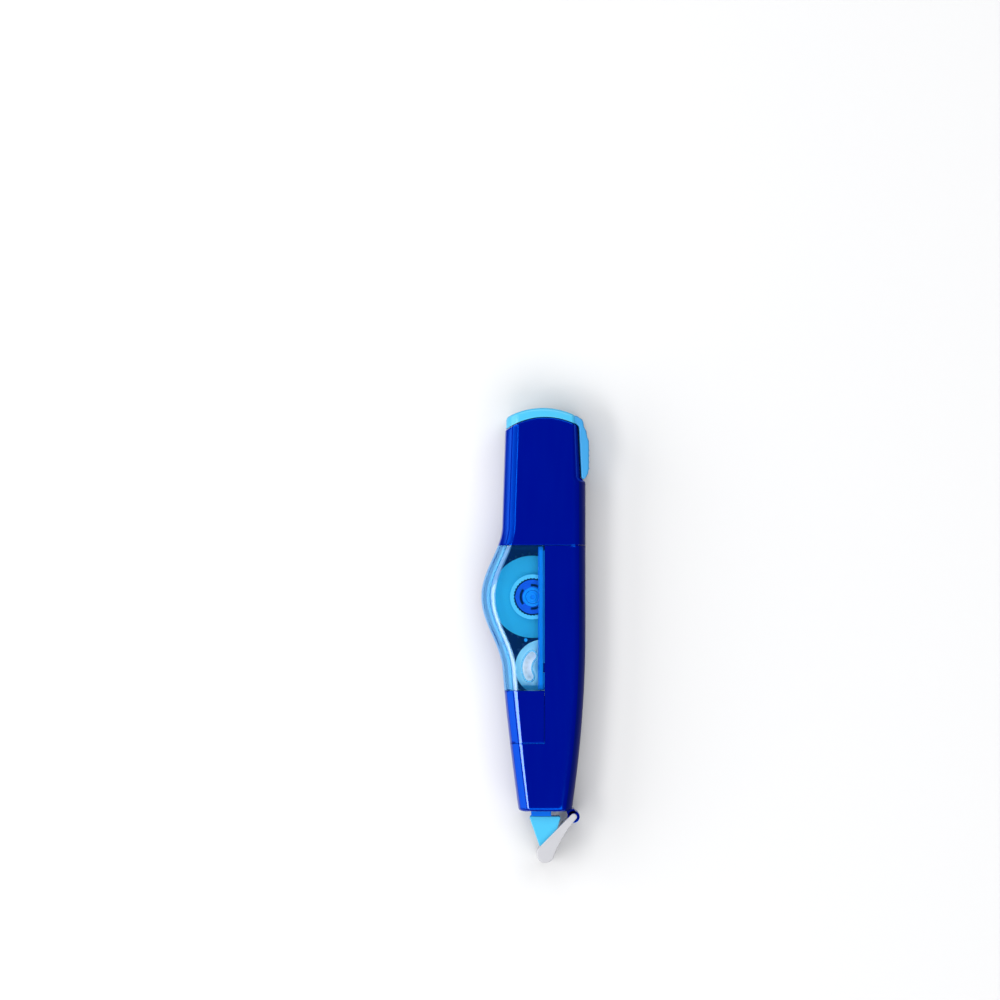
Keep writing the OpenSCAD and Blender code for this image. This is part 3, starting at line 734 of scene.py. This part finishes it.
def cartridge_front():
    """Clear window shell with the slot, its raised rim, and the rail and plate under the case."""
    points, faces, columns = left_patch(WINDOW_TOP, WINDOW_LOW, 90)
    lips = [
        box(-7.6, WINDOW_X - 0.1, WINDOW_TOP - 0.95, WINDOW_TOP - 0.02, LIP_Z, CASE_T - WALL + 0.05),
        box(-6.1, WINDOW_X - 0.1, WINDOW_LOW + 0.02, WINDOW_LOW + 1.15, LIP_Z, CASE_T - WALL + 0.05),
    ]
    # The window's narrow facet carries the painted highlight material
    shell("cartridge_front", points, faces, True, window_mat,
          cutters=[prism(kidney(0), 11, 16)], extra=lips, edge=0.1, columns=columns,
          polished=painted_highlight_mat)
    rim = ring(kidney(0.38), kidney(-0.02), CASE_T - WALL - 0.6, CASE_T + 0.08)
    solid("slot_rim", [rim], "case", "cartridge_front", window_mat, 0.16)
    y0, y1 = WINDOW_LOW + 0.15, SEAM_Y - 0.3
    rail = box(*RAIL, y0, y1, FRONT_PLATE_Z + PLATE_T - 0.02, CASE_T - WALL - 0.1)
    solid("window_rail", [rail], "case", "cartridge_front", rail_mat, 0.12)
    web = box(RAIL[0] - 0.2, RAIL[0] - 0.04, y0, y1, FRONT_PLATE_Z + 0.3, CASE_T - WALL + 0.02)
    solid("rail_web", [web], "case", "cartridge_front", stem_mat, 0.04)
    flat = box(RAIL[0], PLATE_X1, y0, SEAM_Y - 1.2, FRONT_PLATE_Z, FRONT_PLATE_Z + PLATE_T)
    plate = mesh_from("plate", *flat)
    plate = applied(plate, cutters=[prism(circle(TAKEUP_C, 1.15, 40), 10, 14)])
    plate.name = "front_plate"
    plate.materials.clear()
    piece = new_object("front_plate", plate, "case", "cartridge_front", rail_mat)
    bevel(piece, 0.08, 2, 35)
    weighted(piece)
    post = prism(circle((-2.25, -1.05), 0.4, 24), 5.1, CASE_T - WALL + 0.05)
    solid("boss_post", [post], "case", "cartridge_front", rail_mat, 0.06)


def cartridge_back():
    """Opaque back of the cartridge: wall, rail, plate, the stem's tongue and the reel posts."""
    points, faces, _ = left_patch(WINDOW_TOP, WINDOW_LOW, 90)
    y0 = WINDOW_LOW + 0.15
    inside = [
        box(*RAIL, y0, SEAM_Y - 0.3, LAND_H + WALL - 0.1, BACK_PLATE_Z + PLATE_T),
        box(RAIL[0], PLATE_X1, y0, SEAM_Y - 1.2, BACK_PLATE_Z, BACK_PLATE_Z + PLATE_T),
        box(0.2, 4.5, -20.2, WINDOW_Y + 0.3, BACK_PLATE_Z, BACK_PLATE_Z + PLATE_T),
        prism(circle((-7.35, -1.7), 0.5, 24), WALL, CASE_T - WALL - 0.8),
        prism(circle(TAKEUP_C, 1.1, 40), BACK_PLATE_Z, FRONT_PLATE_Z + PLATE_T + 0.02),
    ]
    shell("cartridge_back", points, faces, False, case_mat, extra=inside)
    post = ring(circle(SUPPLY_C, 1.5, 48), circle(SUPPLY_C, 0.5, 48), LAND_H + 1, 10.6)
    collar = ring(circle(SUPPLY_C, 0.95, 48), circle(SUPPLY_C, 0.45, 48), 10.3, 10.8)
    plug = prism(circle(SUPPLY_C, 0.55, 32), LAND_H + 1, 10.35)
    solid("supply_post", [post, collar, plug], "case", "cartridge_back", bright_mat, 0.1)
    face = ring(circle(SUPPLY_C, 2.25, 48), circle(SUPPLY_C, 1.57, 48), 10, 10.6)
    solid("hub_face", [face], "supply_reel", None, bright_mat, 0.12)


# ------------------------------------------------------------------ slider

RIDGES = (38.5, 40.0, 41.5, 42.7)
RIDGE_R = 0.3
CROWN_ROUND = 0.6
CROWN_INSET = 0.15


def crown():
    """End cap: the case's cross-section between the arc of the case's end and the crown's own arc."""
    front = half_columns(None, 10)
    back = front[-2:0:-1]
    loop = [(column, True) for column in front] + [(column, False) for column in back]

    def inner(x):
        return arc_y(x, TOP_C, TOP_R + SLIDER_GAP)

    def outer(x):
        return arc_y(x, CROWN_C, CROWN_R)

    def ring_at(height, pull, shrink=0.0):
        """Ring of the cap's cross-section whose height along the roller is a function of x."""
        made = []
        for column, is_front in loop:
            y = 49.0
            for _ in range(4):
                x, z = section_point(column, y, pull, WINDOW_X, None, MID_Z)
                x += (MIDDLE_X - x) * shrink
                y = height(x)
            z += (MID_Z - z) * shrink
            made += [(x, y, z)] if is_front else flip_z([(x, y, z)])
        return made

    def rounded(a):
        def height(x):
            return outer(x) - CROWN_ROUND * (1 - math.sin(a))

        return ring_at(height, CROWN_INSET + CROWN_ROUND * (1 - math.cos(a)))

    def upright(t):
        def height(x):
            return inner(x) + (outer(x) - CROWN_ROUND - inner(x)) * t

        return ring_at(height, CROWN_INSET)

    inside = [ring_at(inner, CROWN_INSET, t) for t in steps(0.98, 0, 6)]
    wall = [upright(t) for t in steps(0, 1, 3)[1:]]
    round_over = [rounded(a) for a in steps(0, math.pi / 2, 6)[1:]]
    top = [ring_at(outer, CROWN_INSET + CROWN_ROUND, t) for t in steps(0, 0.98, 8)[1:]]
    rings = inside + wall + round_over + top
    n = len(loop)
    points = domed([p for made in rings for p in made], 0.07)
    faces = []
    for r in range(len(rings) - 1):
        for c in range(n):
            d = (c + 1) % n
            faces.append((r * n + c, r * n + d, (r + 1) * n + d, (r + 1) * n + c))
    last = (len(rings) - 1) * n
    return points, faces + [tuple(range(n)), tuple(range(last + n - 1, last - 1, -1))]


def slider():
    gap = SLIDER_GAP
    solid("end_cap", [crown()], "slider", "release_slider", cyan_mat, 0.12)
    tongue = [
        box(TONGUE[0], TONGUE[1], 40, TOP_C[1] + TOP_R + 0.5, MID_Z - TONGUE[2], MID_Z + TONGUE[2]),
        box(TONGUE[0] + 0.6, TONGUE[1] - 0.6, 39, 40.4, MID_Z - 2.4, MID_Z + 2.4),
    ]
    solid("slider_tongue", tongue, "slider", "release_slider", cyan_mat, 0.15)
    outline = [
        (8.2, 49.35), (9.3, 48.75), (right_x(48) + gap, 48.25),
        (right_x(GRIP_Y + 0.5) + gap, GRIP_Y + 0.2),
        (10.95, GRIP_Y - 0.4), (11.55, GRIP_Y), (12.1, GRIP_Y + 1), (GRIP_X - 0.12, GRIP_Y + 2.2),
        (GRIP_X - 0.12, 44.9), (12.0, 45.6), (11.7, 47.2), (11.15, 48.2), (11.05, 49.2), (10.75, 49.85),
        (9.6, 50.6), (8.2, 51.0),
    ]
    body = prism(outline, 1, CASE_T - 1)
    solid("thumb_grip", [body], "slider", "release_slider", grip_shaded_mat, 0.38, 4)
    ridges = [prism(circle((GRIP_X - RIDGE_R, y), RIDGE_R, 20), 1.7, CASE_T - 1.7) for y in RIDGES]
    solid("grip_ridges", ridges, "slider", "release_slider", grip_shaded_mat, 0.1)


# ------------------------------------------------------------------ head and guard

CHEEK_Z = (4.4, 10.9)
CHEEK_T = 0.9
ARM_Z = ((1.75, 2.75), (11.25, 12.25))
WEB_T = 0.8
HOLLOW = 0.5                        # depth of the hollow along the guard's outer side


def head():
    """Wedge: two cheeks with soft edges, the core that the tape runs over, and the peg in the stem."""
    cheek = [
        (-1.4, HEAD_TOP), (-1.1, HEAD_TOP + 0.3), (5.5, HEAD_TOP + 0.3), (5.8, HEAD_TOP),
        (5.1, -44.7), (2.65, -47.7), (1.38, -48.7), (0.93, -48.7),
    ]
    cheek.reverse()
    low, high = CHEEK_Z
    plates = [prism(cheek, low, low + CHEEK_T), prism(cheek, high - CHEEK_T, high)]
    solid("head_cheeks", plates, "case", "applicator_head", cyan_mat, 0.28, 4)
    core = [(-0.45, HEAD_TOP + 0.3), (0.95, -47.75), (1.45, -47.85), (3.95, -44.9), (4.85, HEAD_TOP + 0.3)]
    ribs = [box(0.2, 4.2, y, y + 0.35, low - 0.12, low + 0.2) for y in (-42.9, -43.9)]
    peg = box(0.6, 3.0, HEAD_TOP + 0.2, NOSE_Y + 2.4, 6.6, 8.8)
    core_body = prism(core, low + CHEEK_T - 0.05, high - CHEEK_T + 0.05)
    solid("head_core", [core_body, peg] + ribs, "case", "applicator_head", cyan_mat, 0.12)


def teardrop_side(inset, a0, a1):
    """Tangent points and the arc about the guard's rounded end, for one side of the teardrop."""
    ra, rb = ARM_R - inset, GUARD_END_R - inset
    dx, dy = GUARD_END_C[0] - HINGE_C[0], GUARD_END_C[1] - HINGE_C[1]
    way = math.degrees(math.atan2(dy, dx))
    off = math.degrees(math.acos((ra - rb) / math.hypot(dx, dy)))
    return way, off, arc(GUARD_END_C, rb, way + a0 * off, way + a1 * off, 28)


def hollow_side(start, end, way):
    """Points of the guard's outer side, which is slightly hollow."""
    inwards = (math.cos(math.radians(way - 90)), math.sin(math.radians(way - 90)))
    line = []
    for t in steps(0, 1, 16):
        sag = HOLLOW * 4 * t * (1 - t)
        line.append(tuple(start[i] + (end[i] - start[i]) * t + inwards[i] * sag for i in (0, 1)))
    return line


def guard():
    """Two teardrop arms on the hinge, and a web between them that covers the point from below."""
    way, off, tip_arc = teardrop_side(0, -1, 1)
    hinge_arc = arc(HINGE_C, ARM_R, way + off, way + 360 - off, 24)
    outline = tip_arc + hollow_side(tip_arc[-1], hinge_arc[0], way)[1:-1] + hinge_arc
    arms = [prism(outline, z0, z1) for z0, z1 in ARM_Z]
    solid("guard_arms", arms, "guard", "head_guard", guard_mat, 0.3, 4)
    web = []
    for inset, order in ((0.02, 1), (WEB_T, -1)):
        end_arc = teardrop_side(inset, 0, 1)[2]
        root = arc(HINGE_C, ARM_R - inset, way + off, way + off, 1)[0]
        web += (end_arc + hollow_side(end_arc[-1], root, way)[1:9])[::order]
    web_body = prism(web, ARM_Z[0][1] - 0.3, ARM_Z[1][0] + 0.3)
    solid("guard_web", [web_body], "guard", "head_guard", guard_mat, 0.12)
    pins = [
        prism(circle(HINGE_C, LUG_BORE_R - 0.05, 32), z0, z1)
        for z0, z1 in ((LUG_Z[0] - 0.3, LUG_Z[0] + 1.8), (LUG_Z[1] - 1.8, LUG_Z[1] + 0.3))
    ]
    solid("guard_pins", pins, "guard", "head_guard", guard_mat, 0.08)


# ------------------------------------------------------------------ all pieces

for is_front in (True, False):
    upper_shell(is_front)
    lower_shell(is_front)
    nose_panel(is_front)
cartridge_front()
cartridge_back()
slider()
head()
guard()


def dress_node(node, mat, width):
    """Gives a CAD node its material and rounds its edges."""
    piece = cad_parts[node]
    for place in piece.material_slots:
        place.material = mat
    bevel(piece, width, 2, 35)
    weighted(piece)


for node, mat, width in (
    ("supply_gear", gear_mat, 0.06),
    ("takeup_gear", gear_mat, 0.06),
    ("clutch_hub", hub_mat, 0.1),
    ("supply_core", core_mat, 0.07),
    ("tape_roll", tape_mat, 0.1),
    ("takeup_reel", reel_mat, 0.1),
    ("used_ribbon_winding", ribbon_mat, 0.06),
    ("correction_tape_strand", film_mat, 0.02),
    ("used_ribbon_strand", strand_mat, 0.02),
    ("head_stem", stem_mat, 0.2),
):
    dress_node(node, mat, width)


# ------------------------------------------------------------------ stage, light and camera

FLOOR_HALF = 3.0                    # metres


def floor():
    mesh = bpy.data.meshes.new("floor")
    s = FLOOR_HALF
    mesh.from_pydata([(-s, -s, 0), (s, -s, 0), (s, s, 0), (-s, s, 0)], [], [(0, 1, 2, 3)])
    piece = bpy.data.objects.new("floor", mesh)
    bpy.context.scene.collection.objects.link(piece)
    mat, _, shader = material("floor_paper")
    shader.inputs["Base Color"].default_value = (0.68, 0.68, 0.685, 1)
    shader.inputs["Roughness"].default_value = 0.8
    mesh.materials.append(mat)


def area_light(name, place, target, size, watts):
    light = bpy.data.lights.new(name, "AREA")
    light.shape = "RECTANGLE"
    light.size, light.size_y = size
    light.energy = watts
    lamp = bpy.data.objects.new(name, light)
    lamp.location = place
    lamp.rotation_euler = (Vector(target) - Vector(place)).to_track_quat("-Z", "Y").to_euler()
    bpy.context.scene.collection.objects.link(lamp)


floor()
# A big low softbox at the left, a narrow high one that draws the long highlight, and soft fill from the
# head's and the cap's ends
area_light("softbox", (-0.88, 0, 0.47), (0, 0, 0), (1.4, 0.66), 7.5)
area_light("strip", (-0.63, -0.19, 1.1), (0, -0.1, 0), (0.62, 0.3), 4.5)
area_light("top_fill", (0.1, 0.75, 1.2), (0, 0, 0), (1.6, 0.9), 14)
area_light("low_fill", (0.1, -0.75, 1.2), (0, 0, 0), (1.6, 0.9), 14)

world = bpy.data.worlds.new("studio")
bpy.context.scene.world = world
world.use_nodes = True
sky = world.node_tree.nodes["Background"]
sky.inputs["Color"].default_value = (0.9, 0.95, 1.0, 1)
sky.inputs["Strength"].default_value = 0.08

# The view takes in 231.5 mm across, and the roller sits a little right of and below its middle
VIEW_W = 231.5 * MM
VIEW_MIDDLE = (-8.2 * MM, 31.25 * MM)
LENS = 250.0
SENSOR = 36.0
camera = bpy.data.cameras.new("camera")
camera.lens = LENS
camera.sensor_width = SENSOR
eye = bpy.data.objects.new("camera", camera)
eye.location = (VIEW_MIDDLE[0], VIEW_MIDDLE[1], MID_Z * MM + VIEW_W * LENS / SENSOR)
bpy.context.scene.collection.objects.link(eye)
bpy.context.scene.camera = eye
bpy.context.scene.view_settings.view_transform = "Standard"
